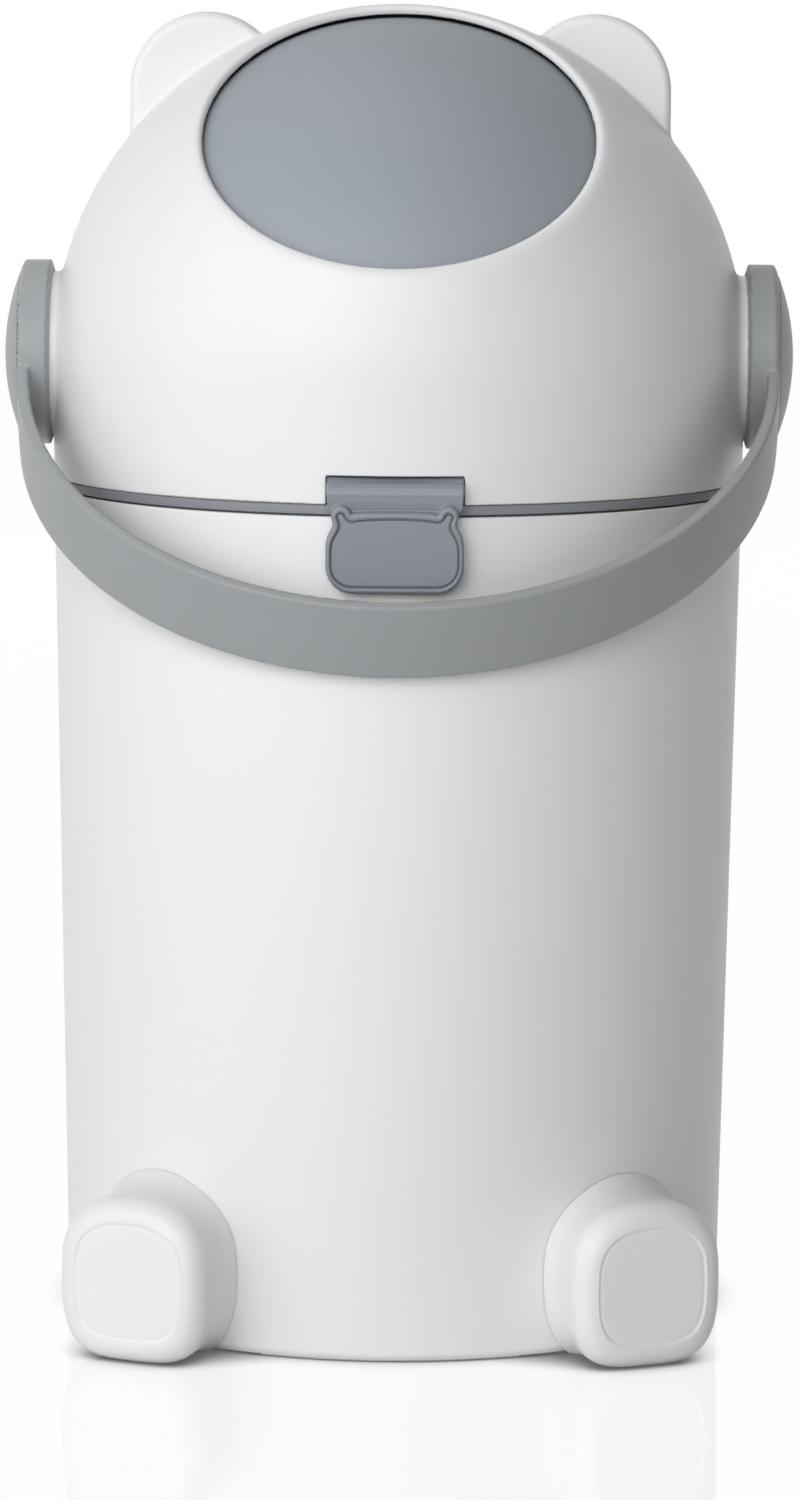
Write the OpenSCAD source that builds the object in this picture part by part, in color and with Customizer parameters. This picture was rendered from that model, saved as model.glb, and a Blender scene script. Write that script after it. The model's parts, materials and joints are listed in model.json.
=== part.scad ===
// Nappy bin: a tapered bucket on two paws, a domed lid with ears, and a ball-shaped
// drum in the lid that a flip handle turns. Millimetres, +Z up, the origin on the
// bucket's axis at the floor, and the front towards -Y.

/* [Bucket] */
// Height of the seam between bucket and lid
seam_z = 351.5; // [300:0.5:420]
// Outer radius of the bucket at the seam
rim_r = 145; // [120:0.5:170]
// How much smaller the bucket's radius is at the floor than at the seam
taper = 6.5; // [0:0.5:15]
// Wall of the bucket
wall = 3; // [2:0.1:4.5]
// Height of the bucket's floor above the ground
floor_z = 14; // [10:0.5:30]
// Thickness of the bucket's floor
floor_t = 3; // [2:0.1:6]
// Height of the chamfer round the bottom edge
edge_h = 3; // [1:0.1:6]
// Step between the bucket's feet and the rest of its bottom edge
foot_step = 0.8; // [0.3:0.1:2]
// Half-angle of the front foot
foot_front_deg = 23; // [10:1:26]
// Half-angle of the rear foot
foot_rear_deg = 60; // [20:1:80]
// Thickness of the cover below the floor
cover_t = 4; // [3:0.1:6]
// Number of screws in the cover
cover_screws = 3; // [3:1:6]

/* [Bag ring] */
// Height of the ring that shows between bucket and lid
ring_h = 4.7; // [3:0.1:8]
// How far the ring's edge lies inside the bucket's surface
ring_inset = 0.6; // [0:0.1:2]
// Width of the ring's top
ring_w = 7.4; // [6:0.1:9]
// Depth of the skirt that holds the bag inside the bucket
ring_skirt = 17; // [8:0.5:30]
// Thickness of that skirt
ring_skirt_t = 2; // [1.5:0.1:3]

/* [Lid] */
// Height of the handle's axis above the seam
hub_rise = 50.5; // [44:0.5:60]
// How much larger the dome is than the bucket's rim
dome_swell = 0.5; // [0:0.1:2]
// Wall of the lid
lid_wall = 2.5; // [2:0.1:3.5]
// Elevation of the nappy opening's axis
opening_deg = 49.9; // [40:0.1:60]
// Radius of the nappy opening
opening_r = 78.4; // [60:0.1:84]
// Height of the rounded lip above the dome
lip_rise = 1.8; // [0.5:0.1:3]
// Radius of that lip's section
lip_r = 3.2; // [2:0.1:5]
// Radius of the round boss at each hub
boss_r = 33.9; // [28:0.1:40]
// How far the boss stands past the dome
boss_stand = 0.5; // [0.2:0.1:3]

/* [Ears] */
// Radius of an ear
ear_r = 32; // [20:0.5:36]
// Distance of an ear's centre from the middle
ear_x = 81; // [70:0.5:90]
// Height of an ear's centre above the handle's axis
ear_rise = 110.7; // [100:0.1:118]
// Thickness of an ear
ear_t = 16; // [10:0.5:24]
// Chamfer round an ear
ear_edge = 3.5; // [1:0.1:5]

/* [Drum] */
// Gap between lid and drum
drum_gap = 1.8; // [1.2:0.1:3]
// Wall of the drum
drum_wall = 2.5; // [2:0.1:4]
// How far each flat end of the drum cuts into the ball
drum_flat = 9.7; // [9:0.1:16]
// Radius of the drum's mouth
mouth_r = 76; // [55:0.5:80]
// Angle that the handle and drum turn through
flip_deg = 150; // [120:1:160]
// Radius of the stub shafts
shaft_r = 14; // [10:0.1:15]
// Side of the square drives on the stub shafts
drive_w = 18; // [12:0.1:18]
// Wall of the nylon bushes
bush_t = 3; // [2:0.1:4]

/* [Handle] */
// Angle of the handle below the horizontal at rest
handle_deg = 33; // [30:0.5:36]
// Width of the handle's band
band_w = 36.3; // [28:0.1:40]
// Thickness of the handle's band
band_t = 5.5; // [4:0.1:7]
// Straight length of each arm from the hub
arm_len = 33.3; // [33:0.1:50]
// Radius of the hub discs
disc_r = 38.7; // [34:0.1:44]
// Thickness of the hub discs
disc_t = 12.1; // [9:0.1:16]
// Radius of the domed hub caps
cap_r = 34; // [26:0.1:36]
// Height of the domed hub caps
cap_h = 7.8; // [4:0.1:12]

/* [Latch] */
// Width of the latch
latch_w = 55.4; // [40:0.1:60]
// Height of the latch's lower edge below the seam
latch_drop = 33.5; // [28:0.1:36]
// Height of the latch's top above the seam
latch_top = 11.9; // [11.5:0.1:12.5]
// Thickness of the latch's tab
tab_t = 4.4; // [3.5:0.1:6]
// How far the tab's face stands in front of the rim
tab_stand = 5.4; // [5.2:0.1:7]
// Height of the latch's pin above the seam
latch_pin_rise = 5.5; // [5.2:0.1:6]
// Radius of the latch's pin
latch_pin_r = 1.25; // [1:0.05:1.5]

/* [Hinge] */
// Distance of the hinge pin behind the rim
hinge_back = 8; // [7.5:0.1:10]
// Radius of the hinge pin
hinge_pin_r = 2; // [1.5:0.1:2.5]
// Radius of the hinge knuckles
knuckle_r = 5; // [4.5:0.1:5.5]
// Half the length of the lid's knuckle
lid_knuckle_x = 14; // [10:0.5:18]
// Length of each knuckle of the ring
ring_knuckle_w = 13.2; // [8:0.1:16]
// Length of each knuckle of the bucket
body_knuckle_w = 16; // [10:0.5:20]

/* [Paws] */
// Azimuth where a paw leaves the bucket, from the front
paw_az = 40; // [36:0.5:46]
// Angle that a paw points outwards, from straight ahead
paw_splay = 24; // [15:0.5:35]
// Length of a paw in front of the bucket
paw_len = 43; // [32:0.5:55]
// Width of a paw
paw_w = 59; // [46:0.5:62]
// Height of a paw
paw_h = 68; // [56:0.5:74]
// Radius round a paw's front edge
paw_edge = 9; // [5:0.5:12]
// How much a paw widens at its root
paw_flare = 5; // [0:0.5:8]
// Length over which it widens
flare_len = 14; // [8:0.5:18]
// Width of the panel on a paw's front
panel_w = 46.6; // [34:0.1:48]
// Height of that panel
panel_h = 48.8; // [38:0.1:56]

/* [Fits] */
// Gap between pieces that rest on each other
seat_gap = 0.3; // [0.2:0.05:0.5]
// Radial clearance of a pin or shaft in its bore
run_gap = 0.05; // [0.02:0.01:0.09]
// Clearance of a piece in its recess
pocket_gap = 0.4; // [0.3:0.05:0.6]
// Radius of the small screws' shanks
screw_r = 1.5; // [1.2:0.05:1.75]
// Radius of the small screws' heads
screw_head_r = 3; // [2.5:0.1:3.2]
// Height of the small screws' heads
screw_head_h = 1.8; // [1.2:0.1:2]

/* [Hidden] */
$fn = 96;
eps = 0.01;
far = 400;

base_r = rim_r - taper;
hub_z = seam_z + hub_rise;
body_top_z = seam_z - ring_h;
dome_r = rim_r + dome_swell;
lid_in_r = dome_r - lid_wall;
lid_skirt_in_r = rim_r - lid_wall;
drum_r = lid_in_r - drum_gap;
drum_end_x = drum_r - drum_flat;
drum_clear = 1;
boss_x = dome_r + boss_stand;
disc_in_x = boss_x + seat_gap + 0.2;
disc_out_x = disc_in_x + disc_t;
cap_x = disc_out_x + 0.2;
mouth_deg = opening_deg - flip_deg;

function body_r(z) = base_r + (rim_r - base_r) * z / seam_z;
function ball_r(r, z) = sqrt(r * r - (hub_z - z) * (hub_z - z));
// How far the rim's curve falls back at a distance x from the middle.
function sag(x) = rim_r - sqrt(rim_r * rim_r - x * x);

hinge_y = rim_r + hinge_back;
hinge_z = seam_z - ring_h / 2;
side_gap = 0.4;
ring_knuckle_x = lid_knuckle_x + side_gap;
body_knuckle_x = ring_knuckle_x + ring_knuckle_w + side_gap;
hinge_half = body_knuckle_x + body_knuckle_w;

// ---------------------------------------------------------------- helpers

// Turns +Z to a direction in the YZ plane, an angle above the front horizon.
module aim(deg) {
    rotate([90 - deg, 0, 0]) children();
}

// A cylinder along X from x0 to x1.
module x_rod(x0, x1, r) {
    translate([x0, 0, 0]) rotate([0, 90, 0]) cylinder(h = x1 - x0, r = r);
}

// Places children on the handle's axis.
module at_hub() {
    translate([0, 0, hub_z]) children();
}

// Places children on the hinge pin's axis.
module at_hinge() {
    translate([0, hinge_y, hinge_z]) children();
}

// Extrudes a YZ outline along X from x0 to x1.
module x_slab(x0, x1) {
    translate([x0, 0, 0]) rotate([90, 0, 90]) linear_extrude(x1 - x0) children();
}

// A ring about Z with a rectangular section.
module band_ring(r_in, r_out, h) {
    rotate_extrude() translate([r_in, 0]) square([r_out - r_in, h]);
}

// Part of such a ring, between two angles.
module arc_ring(r_in, r_out, h, a0, a1) {
    rotate([0, 0, a0]) rotate_extrude(angle = a1 - a0) translate([r_in, 0]) square([r_out - r_in, h]);
}

// Both sides of the bin: the child and its mirror image.
module both_sides() {
    children();
    mirror([1, 0, 0]) children();
}

// A pan-head screw along Z: the head's underside at z = 0, the shank upwards.
module screw(shank_r, shank_h, head_r, head_h) {
    translate([0, 0, -head_h]) cylinder(h = head_h, r = head_r);
    translate([0, 0, -eps]) cylinder(h = shank_h + eps, r = shank_r);
}

// ---------------------------------------------------------------- bucket

bottom_r = body_r(edge_h) - edge_h * 0.55;
cover_r = bottom_r - wall - 1.6;
cover_boss_r = 6;
cover_screw_ring = base_r * 0.72;
cover_pilot_h = floor_z - cover_t - 1.5;
foot_in_r = bottom_r - wall;

module cover_screw_places() {
    for (k = [0 : cover_screws - 1])
        rotate([0, 0, 360 * k / cover_screws + 30]) translate([cover_screw_ring, 0, 0]) children();
}

module bucket_outer() {
    translate([0, 0, foot_step]) cylinder(h = edge_h - foot_step, r1 = bottom_r, r2 = body_r(edge_h));
    translate([0, 0, edge_h]) cylinder(h = body_top_z - edge_h, r1 = body_r(edge_h), r2 = body_r(body_top_z));
    for (a = [[270, foot_front_deg], [90, foot_rear_deg]])
        arc_ring(foot_in_r - 1, bottom_r - 0.1, foot_step + 1, a[0] - a[1], a[0] + a[1]);
}

module bucket_inside() {
    inner_h = body_top_z - floor_z - floor_t;
    translate([0, 0, floor_z + floor_t])
        cylinder(h = inner_h + eps, r1 = body_r(floor_z + floor_t) - wall, r2 = body_r(body_top_z) - wall);
    translate([0, 0, -eps]) cylinder(h = floor_z + eps, r = foot_in_r);
}

// The catch on the front that the latch's hook snaps under.
keeper_w = 18;
keeper_h = 4;
keeper_z = body_top_z - 13;
keeper_y = rim_r + 0.9;

module keeper() {
    translate([-keeper_w / 2, -keeper_y, keeper_z]) cube([keeper_w, keeper_y - rim_r + wall, keeper_h]);
}

body_web_in = -hinge_back - sag(hinge_half) - 1.4;
body_web = [
    [body_web_in, -26], [body_web_in, -ring_h / 2 - 0.8], [-4, -ring_h / 2 - 0.8],
    [0, 0], [knuckle_r, 0], [knuckle_r - 1.5, -8]
];

module hinge_bore(half) {
    at_hinge() x_rod(-half, half, hinge_pin_r + run_gap);
}

module body_knuckle() {
    at_hinge() {
        x_rod(body_knuckle_x, hinge_half, knuckle_r);
        x_slab(body_knuckle_x, hinge_half) polygon(body_web);
    }
}

module body_shell() {
    color("white") difference() {
        union() {
            difference() {
                union() {
                    bucket_outer();
                    both_sides() body_knuckle();
                }
                bucket_inside();
            }
            keeper();
            cover_screw_places() translate([0, 0, cover_t])
                cylinder(h = floor_z - cover_t + eps, r = cover_boss_r);
        }
        hinge_bore(hinge_half + 1);
        cover_screw_places() translate([0, 0, cover_t - eps])
            cylinder(h = cover_pilot_h, r = screw_r + run_gap);
        both_sides() paw_screw_places() cylinder(h = wall * 3, r = paw_screw_r + 0.2, center = true);
    }
}

module base_cover() {
    color("whitesmoke") difference() {
        cylinder(h = cover_t, r = cover_r);
        cover_screw_places() {
            translate([0, 0, -eps]) cylinder(h = screw_head_h + pocket_gap, r = screw_head_r + pocket_gap);
            cylinder(h = far, r = screw_r + 0.2, center = true);
        }
    }
}

module base_screws() {
    color("silver") cover_screw_places() translate([0, 0, screw_head_h + pocket_gap - eps])
        screw(screw_r, cover_t - screw_head_h + cover_pilot_h - 2, screw_head_r, screw_head_h);
}

// ---------------------------------------------------------------- paws

paw_screw_r = 1.75;
paw_screw_head_r = 4;
paw_screw_head_h = 2.2;
paw_screw_z = [24, 50];
paw_screw_len = 18;
paw_power = 3.2;
paw_steps = 56;
edge_steps = 5;
flare_steps = 6;
root_depth = 8;
paw_mid_z = paw_h / 2;
paw_root_r = body_r(paw_mid_z);
groove_w = 1.2;
groove_d = 0.6;

// The wall's inner face at each paw screw, with +Z pointing out through the wall.
module paw_screw_places() {
    for (z = paw_screw_z)
        rotate([0, 0, paw_az]) translate([0, -(body_r(z) - wall), z]) rotate([90, 0, 0]) children();
}

module paw_frame() {
    translate([paw_root_r * sin(paw_az), -paw_root_r * cos(paw_az), 0]) rotate([0, 0, paw_splay]) children();
}

// A rounded square, as a superellipse in the XZ plane about the paw's middle height.
function squircle(a, b, t) = [
    a * sign(cos(t)) * pow(abs(cos(t)), 2 / paw_power),
    b * sign(sin(t)) * pow(abs(sin(t)), 2 / paw_power)
];

// Where a line along the paw's axis, at (x, z) of the paw's frame, meets the bucket.
function root_y(x, z) =
    let (c = paw_az - paw_splay, px = x + paw_root_r * sin(c), r = body_r(max(z, 0)))
    paw_root_r * cos(c) - sqrt(max(r * r - px * px, 1));

function flare_at(d) = d >= flare_len ? 0 : paw_flare * pow(1 - d / flare_len, 2);

// One point of the paw's skin: ring k from the front edge to inside the wall.
function paw_point(k, t) =
    let (
        n_front = edge_steps,
        front = k <= n_front,
        a = 90 * (1 - k / n_front),
        inset = front ? paw_edge * (1 - cos(a)) : 0,
        q = squircle(paw_w / 2 - inset, paw_h / 2 - inset, t),
        y0 = -paw_len + paw_edge,
        y1 = root_y(q[0], q[1] + paw_mid_z),
        v = (k - n_front) / flare_steps,
        y = front ? -paw_len + paw_edge * (1 - sin(a)) : y0 + (y1 - y0) * min(v, 1),
        f = front ? 0 : flare_at(y1 - y),
        s = squircle(paw_w / 2 + f, paw_h / 2 + f, t)
    )
    front ? [q[0], y, q[1] + paw_mid_z]
    : [s[0], v > 1 ? y1 + root_depth : y, max(s[1] + paw_mid_z, 0)];

paw_rings = edge_steps + flare_steps + 2;

module paw_skin() {
    points = [
        for (k = [0 : paw_rings - 1]) for (i = [0 : paw_steps - 1]) paw_point(k, 360 * i / paw_steps)
    ];
    ends = [[0, -paw_len, paw_mid_z], [0, root_y(0, paw_mid_z) + root_depth, paw_mid_z]];
    n = paw_rings * paw_steps;
    skin = [
        for (k = [0 : paw_rings - 2]) for (i = [0 : paw_steps - 1])
            let (
                j = (i + 1) % paw_steps,
                a = k * paw_steps + i,
                b = k * paw_steps + j,
                c = (k + 1) * paw_steps + j,
                d = (k + 1) * paw_steps + i
            )
            each [[a, b, c], [a, c, d]]
    ];
    front_fan = [for (i = [0 : paw_steps - 1]) [n, (i + 1) % paw_steps, i]];
    last = n - paw_steps;
    back_fan = [for (i = [0 : paw_steps - 1]) [n + 1, last + i, last + (i + 1) % paw_steps]];
    polyhedron(concat(points, ends), concat(skin, front_fan, back_fan));
}

module panel_outline(grow) {
    polygon([
        for (i = [0 : paw_steps - 1])
            squircle(panel_w / 2 + grow, panel_h / 2 + grow, 360 * i / paw_steps)
    ]);
}

module paw() {
    difference() {
        paw_frame() difference() {
            paw_skin();
            translate([0, -paw_len + groove_d, paw_mid_z + 1]) rotate([90, 0, 0])
                linear_extrude(groove_d * 2) difference() {
                    panel_outline(0);
                    panel_outline(-groove_w);
                }
        }
        translate([0, 0, -1]) cylinder(
            h = seam_z + 1, r1 = body_r(-1) + seat_gap, r2 = body_r(seam_z) + seat_gap);
        translate([0, 0, -1]) cylinder(h = edge_h + 1, r = body_r(edge_h) + seat_gap);
        paw_screw_places() cylinder(h = paw_screw_len * 2 + 2, r = paw_screw_r + run_gap, center = true);
    }
}

module right_paw() {
    color("white") paw();
}

module left_paw() {
    color("white") mirror([1, 0, 0]) paw();
}

module paw_screws() {
    color("silver") both_sides() paw_screw_places() translate([0, 0, -0.2])
        screw(paw_screw_r, paw_screw_len, paw_screw_head_r, paw_screw_head_h);
}

// ---------------------------------------------------------------- bag ring

ring_r = rim_r - ring_inset;
ring_z0 = body_top_z + seat_gap;
ring_z1 = seam_z - seat_gap;
ring_skirt_r = body_r(body_top_z) - wall - 1.3;

ring_web_in = -hinge_back - sag(ring_knuckle_x + ring_knuckle_w) - ring_inset - 1.2;
ring_web = [
    [ring_web_in, ring_z0 - hinge_z], [ring_web_in, ring_z1 - hinge_z],
    [0, ring_z1 - hinge_z], [0, ring_z0 - hinge_z]
];

module bag_ring() {
    color("darkgray") difference() {
        union() {
            translate([0, 0, ring_z0]) band_ring(ring_r - ring_w, ring_r, ring_z1 - ring_z0);
            translate([0, 0, ring_z0 - ring_skirt])
                band_ring(ring_skirt_r - ring_skirt_t, ring_skirt_r, ring_skirt + eps);
            both_sides() at_hinge() {
                x_rod(ring_knuckle_x, ring_knuckle_x + ring_knuckle_w, knuckle_r);
                x_slab(ring_knuckle_x, ring_knuckle_x + ring_knuckle_w) polygon(ring_web);
            }
        }
        hinge_bore(hinge_half);
    }
}

module hinge_pin() {
    color("silver") at_hinge() x_rod(-hinge_half, hinge_half, hinge_pin_r);
}

// ---------------------------------------------------------------- lid

pin_y = rim_r - 5.2;
pin_z = seam_z + latch_pin_rise;
plate_half = latch_w / 2;
pocket_half = plate_half + pocket_gap;
cheek_t = 3.2;
plate_up = latch_top - latch_pin_rise;
plate_top_y = -4.8;
plate_sweep_r = norm([plate_top_y, plate_up]);
barrel_r = latch_pin_r + 1.35;
pocket_back = 0.6;

module at_latch() {
    translate([0, -pin_y, pin_z]) children();
}

module lid_outer() {
    translate([0, 0, seam_z]) cylinder(h = hub_rise, r1 = rim_r, r2 = dome_r);
    at_hub() {
        intersection() {
            sphere(r = dome_r);
            translate([-far / 2, -far / 2, 0]) cube([far, far, far]);
        }
        x_rod(-boss_x, boss_x, boss_r);
        aim(opening_deg) lip();
        both_sides() translate([ear_x, 0, ear_rise]) ear();
    }
    at_hinge() {
        x_rod(-lid_knuckle_x, lid_knuckle_x, knuckle_r);
        x_slab(-lid_knuckle_x, lid_knuckle_x) polygon(lid_web);
    }
}

lid_web_in = -hinge_back - sag(lid_knuckle_x) - 1;
lid_web = [
    [lid_web_in, ring_h / 2 + 1], [lid_web_in, 26], [knuckle_r - 1.5, 8],
    [knuckle_r, 0], [0, 0], [-4, ring_h / 2 + 0.8]
];

lip_mid_r = opening_r + lip_r;

module lip() {
    crest = dome_r + lip_rise - lip_r;
    translate([0, 0, sqrt(crest * crest - lip_mid_r * lip_mid_r)])
        rotate_extrude() translate([lip_mid_r, 0]) circle(r = lip_r, $fn = 48);
}

// An ear: a chamfered disc on a chamfered post that runs down into the dome.
module ear() {
    flat = ear_t - 2 * ear_edge;
    rotate([90, 0, 0]) {
        cylinder(h = flat, r = ear_r, center = true);
        for (s = [0, 1]) mirror([0, 0, s])
            translate([0, 0, flat / 2]) cylinder(h = ear_edge, r1 = ear_r, r2 = ear_r - ear_edge);
    }
    translate([0, 0, -ear_r * 1.6]) linear_extrude(ear_r * 1.6) polygon([
        [-ear_r, -flat / 2], [-ear_r + ear_edge, -ear_t / 2], [ear_r - ear_edge, -ear_t / 2],
        [ear_r, -flat / 2], [ear_r, flat / 2], [ear_r - ear_edge, ear_t / 2],
        [-ear_r + ear_edge, ear_t / 2], [-ear_r, flat / 2]
    ]);
}

module lid_cavity() {
    translate([0, 0, seam_z - 1]) cylinder(h = hub_rise + 1, r = lid_skirt_in_r);
    at_hub() sphere(r = lid_in_r);
}

hub_boss_in_x = drum_end_x + 1.7;
bush_r = shaft_r + run_gap + bush_t;
hub_boss_r = bush_r + 7;
hub_boss_out_x = sqrt(lid_in_r * lid_in_r - bush_r * bush_r) + 0.3;

carrier_z = seam_z + 0.8;
carrier_t = 4;
carrier_r = lid_skirt_in_r - seat_gap;
carrier_screw_n = 6;
carrier_screw_ring = lid_skirt_in_r - 3.4;
carrier_boss_r = 3.6;
carrier_boss_h = 7;
carrier_pilot_r = 1.25;
carrier_screw_r = carrier_pilot_r - run_gap;
carrier_head_r = 2.4;
carrier_head_h = 1.6;
seal_gap = 0.4;
lower_seal_w = 2.6;
lower_seal_z0 = carrier_z + 0.2;
lower_seal_z1 = carrier_z + carrier_t - 0.6;
carrier_in_r = ball_r(drum_r, lower_seal_z1) + seal_gap + lower_seal_w * 0.6;
block_depth = rim_r - carrier_in_r + 6;

module carrier_screw_places() {
    for (k = [0 : carrier_screw_n - 1])
        rotate([0, 0, 360 * k / carrier_screw_n]) translate([carrier_screw_ring, 0, carrier_z]) children();
}

module hub_bosses() {
    both_sides() at_hub() x_rod(hub_boss_in_x, hub_boss_out_x, hub_boss_r);
}

// The screw bosses and the block behind the latch's pocket, cut back from the drum.
module skirt_bosses() {
    difference() {
        intersection() {
            translate([0, 0, seam_z]) cylinder(h = hub_rise, r = rim_r - 1);
            union() {
                carrier_screw_places() translate([0, 0, carrier_t])
                    cylinder(h = carrier_boss_h, r = carrier_boss_r);
                translate([-pocket_half - cheek_t, -rim_r, seam_z])
                    cube([2 * (pocket_half + cheek_t), block_depth, latch_top + 5]);
            }
        }
        at_hub() sphere(r = drum_r + drum_clear);
        translate([0, 0, seam_z - 1]) cylinder(h = carrier_t + 4, r = carrier_in_r);
    }
}

module latch_pocket() {
    sweep = plate_sweep_r + pocket_gap;
    at_latch() {
        intersection() {
            x_rod(-pocket_half, pocket_half, sweep);
            translate([-pocket_half, -sweep - 1, -sweep]) cube([2 * pocket_half, sweep + 1 + pocket_back, 2 * sweep]);
        }
        x_rod(-pocket_half, pocket_half, barrel_r + pocket_gap);
        translate([-pocket_half, -sweep - 1, -latch_pin_rise - 1])
            cube([2 * pocket_half, sweep + 1 + pocket_back, latch_pin_rise + 1]);
        translate([-pocket_half, 0, -latch_pin_rise - 1])
            cube([2 * pocket_half, barrel_r + pocket_gap, latch_pin_rise + 1]);
        x_rod(-pocket_half - cheek_t + 1, pocket_half + cheek_t - 1, latch_pin_r + run_gap);
    }
}

module head_shell() {
    color("white") difference() {
        union() {
            difference() {
                lid_outer();
                lid_cavity();
            }
            hub_bosses();
            skirt_bosses();
        }
        at_hub() {
            aim(opening_deg) cylinder(h = far, r = opening_r);
            x_rod(-far, far, bush_r + run_gap);
        }
        latch_pocket();
        hinge_bore(hinge_half);
        carrier_screw_places() cylinder(h = carrier_t + carrier_boss_h - 1, r = carrier_pilot_r);
    }
}

// The rubber ring under the opening's lip.
module opening_seal() {
    r0 = drum_r + seal_gap;
    r1 = lid_in_r - 0.1;
    w = 5;
    a0 = asin((opening_r + 0.1) / r1);
    a1 = asin((opening_r + w) / r1);
    color("dimgray") at_hub() aim(opening_deg) rotate_extrude() polygon([
        [r0 * sin(a0), r0 * cos(a0)], [r0 * sin(a1), r0 * cos(a1)],
        [r1 * sin(a1), r1 * cos(a1)], [r1 * sin(a0), r1 * cos(a0)]
    ]);
}

// The ring in the lid's mouth that carries the lower seal.
module seal_carrier() {
    color("whitesmoke") difference() {
        translate([0, 0, carrier_z]) band_ring(carrier_in_r, carrier_r, carrier_t);
        carrier_screw_places() {
            translate([0, 0, -eps]) cylinder(h = carrier_head_h + pocket_gap, r = carrier_head_r + pocket_gap);
            translate([0, 0, -eps]) cylinder(h = carrier_t + 1, r = carrier_pilot_r + 0.15);
        }
        translate([-pocket_half - cheek_t - seat_gap, -rim_r, seam_z])
            cube([2 * (pocket_half + cheek_t + seat_gap), block_depth, far]);
    }
}

module drum_seal() {
    r0 = ball_r(drum_r, lower_seal_z0) + seal_gap;
    r1 = ball_r(drum_r, lower_seal_z1) + seal_gap;
    out = carrier_in_r - 0.1;
    color("dimgray") rotate_extrude() polygon([
        [r0, lower_seal_z0], [out, lower_seal_z0], [out, lower_seal_z1], [r1, lower_seal_z1]
    ]);
}

module carrier_screws() {
    color("silver") carrier_screw_places() translate([0, 0, carrier_head_h + pocket_gap - eps])
        screw(carrier_screw_r, carrier_t + carrier_boss_h - 4.5, carrier_head_r, carrier_head_h);
}

// ---------------------------------------------------------------- drum

drum_boss_r = 22;
drum_boss_in_x = drum_end_x - 23;
drive_in_x = drum_end_x - 11.7;
hub_screw_r = 2.5;
lug_r = 6;
lug_h = 9;
lug_ring = drum_r - drum_wall - 4.7;
lug_deg = [45, 135, 225, 315];

module drum_skin() {
    difference() {
        intersection() {
            sphere(r = drum_r);
            cube([2 * drum_end_x, far, far], center = true);
        }
        intersection() {
            sphere(r = drum_r - drum_wall);
            cube([2 * (drum_end_x - drum_wall), far, far], center = true);
        }
    }
}

module lugs(z0, h) {
    for (a = lug_deg) rotate([0, 0, a]) translate([lug_ring, 0, z0]) cylinder(h = h, r = lug_r);
}

module lug_holes(r) {
    for (a = lug_deg) rotate([0, 0, a]) translate([lug_ring, 0, 0]) cylinder(h = 3 * lug_h, r = r, center = true);
}

// The closed half. Local +Z points out of the mouth, so this half lies below z = 0.
module drum_cap() {
    color("darkgray") at_hub() aim(mouth_deg) difference() {
        union() {
            intersection() {
                drum_skin();
                translate([-far, -far, -2 * far - seat_gap / 2]) cube([2 * far, 2 * far, 2 * far]);
            }
            both_sides() x_rod(drum_boss_in_x, drum_end_x, drum_boss_r);
            intersection() {
                lugs(-lug_h, lug_h - seat_gap / 2);
                sphere(r = drum_r - eps);
            }
        }
        both_sides() translate([drive_in_x, -drive_w / 2 - 0.1, -drive_w / 2 - 0.1])
            cube([far, drive_w + 0.2, drive_w + 0.2]);
        both_sides() x_rod(drum_boss_in_x + 2, far, hub_screw_r + run_gap);
        translate([0, 0, -lug_h - 1]) intersection() {
            lug_holes(screw_r + run_gap);
            translate([-far, -far, 2]) cube([2 * far, 2 * far, far]);
        }
    }
}

// The half with the mouth, above z = 0 of the same frame.
module drum_cup() {
    color("darkgray") at_hub() aim(mouth_deg) difference() {
        union() {
            intersection() {
                drum_skin();
                translate([-far, -far, seat_gap / 2]) cube([2 * far, 2 * far, 2 * far]);
            }
            intersection() {
                translate([0, 0, seat_gap / 2]) lugs(0, lug_h);
                sphere(r = drum_r - eps);
            }
        }
        cylinder(h = far, r = mouth_r);
        both_sides() x_rod(drum_boss_in_x - 1, far, drum_boss_r + seat_gap);
        lug_holes(screw_r + 0.2);
    }
}

module drum_screws() {
    color("silver") at_hub() aim(mouth_deg)
        for (a = lug_deg) rotate([0, 0, a]) translate([lug_ring, 0, lug_h + seat_gap])
            rotate([180, 0, 0]) screw(screw_r, 2 * lug_h - 2.5, screw_head_r, screw_head_h);
}

// ---------------------------------------------------------------- hubs and handle

drive_out_x = disc_in_x + 7.7;
round_x0 = drum_end_x + 0.2;
round_x1 = disc_in_x - 0.2;
hub_recess_r = 13.8;
washer_r = 12;
washer_t = 1.2;
hub_head_r = 4.5;
hub_head_h = 2.6;

module bush() {
    color("ivory") at_hub() difference() {
        x_rod(hub_boss_in_x + 0.2, boss_x - 0.2, bush_r);
        x_rod(0, far, shaft_r + run_gap);
    }
}

module right_bush() {
    bush();
}

module left_bush() {
    mirror([1, 0, 0]) bush();
}

module trunnion() {
    color("dimgray") at_hub() difference() {
        union() {
            translate([drive_in_x + 0.2, 0, 0]) drive_bar(round_x0 - drive_in_x, mouth_deg);
            x_rod(round_x0, round_x1, shaft_r);
            translate([round_x1, 0, 0]) drive_bar(drive_out_x - round_x1, 90 - handle_deg);
        }
        x_rod(0, far, hub_screw_r + 0.2);
    }
}

// A square bar along +X, turned about X to match its socket.
module drive_bar(len, deg) {
    aim(deg) translate([0, -drive_w / 2, -drive_w / 2]) cube([len, drive_w, drive_w]);
}

module right_trunnion() {
    trunnion();
}

module left_trunnion() {
    mirror([1, 0, 0]) trunnion();
}

module hub_washers() {
    color("silver") both_sides() at_hub() difference() {
        x_rod(drive_out_x + 0.2, drive_out_x + 0.2 + washer_t, washer_r);
        x_rod(0, far, hub_screw_r + 0.2);
    }
}

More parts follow.
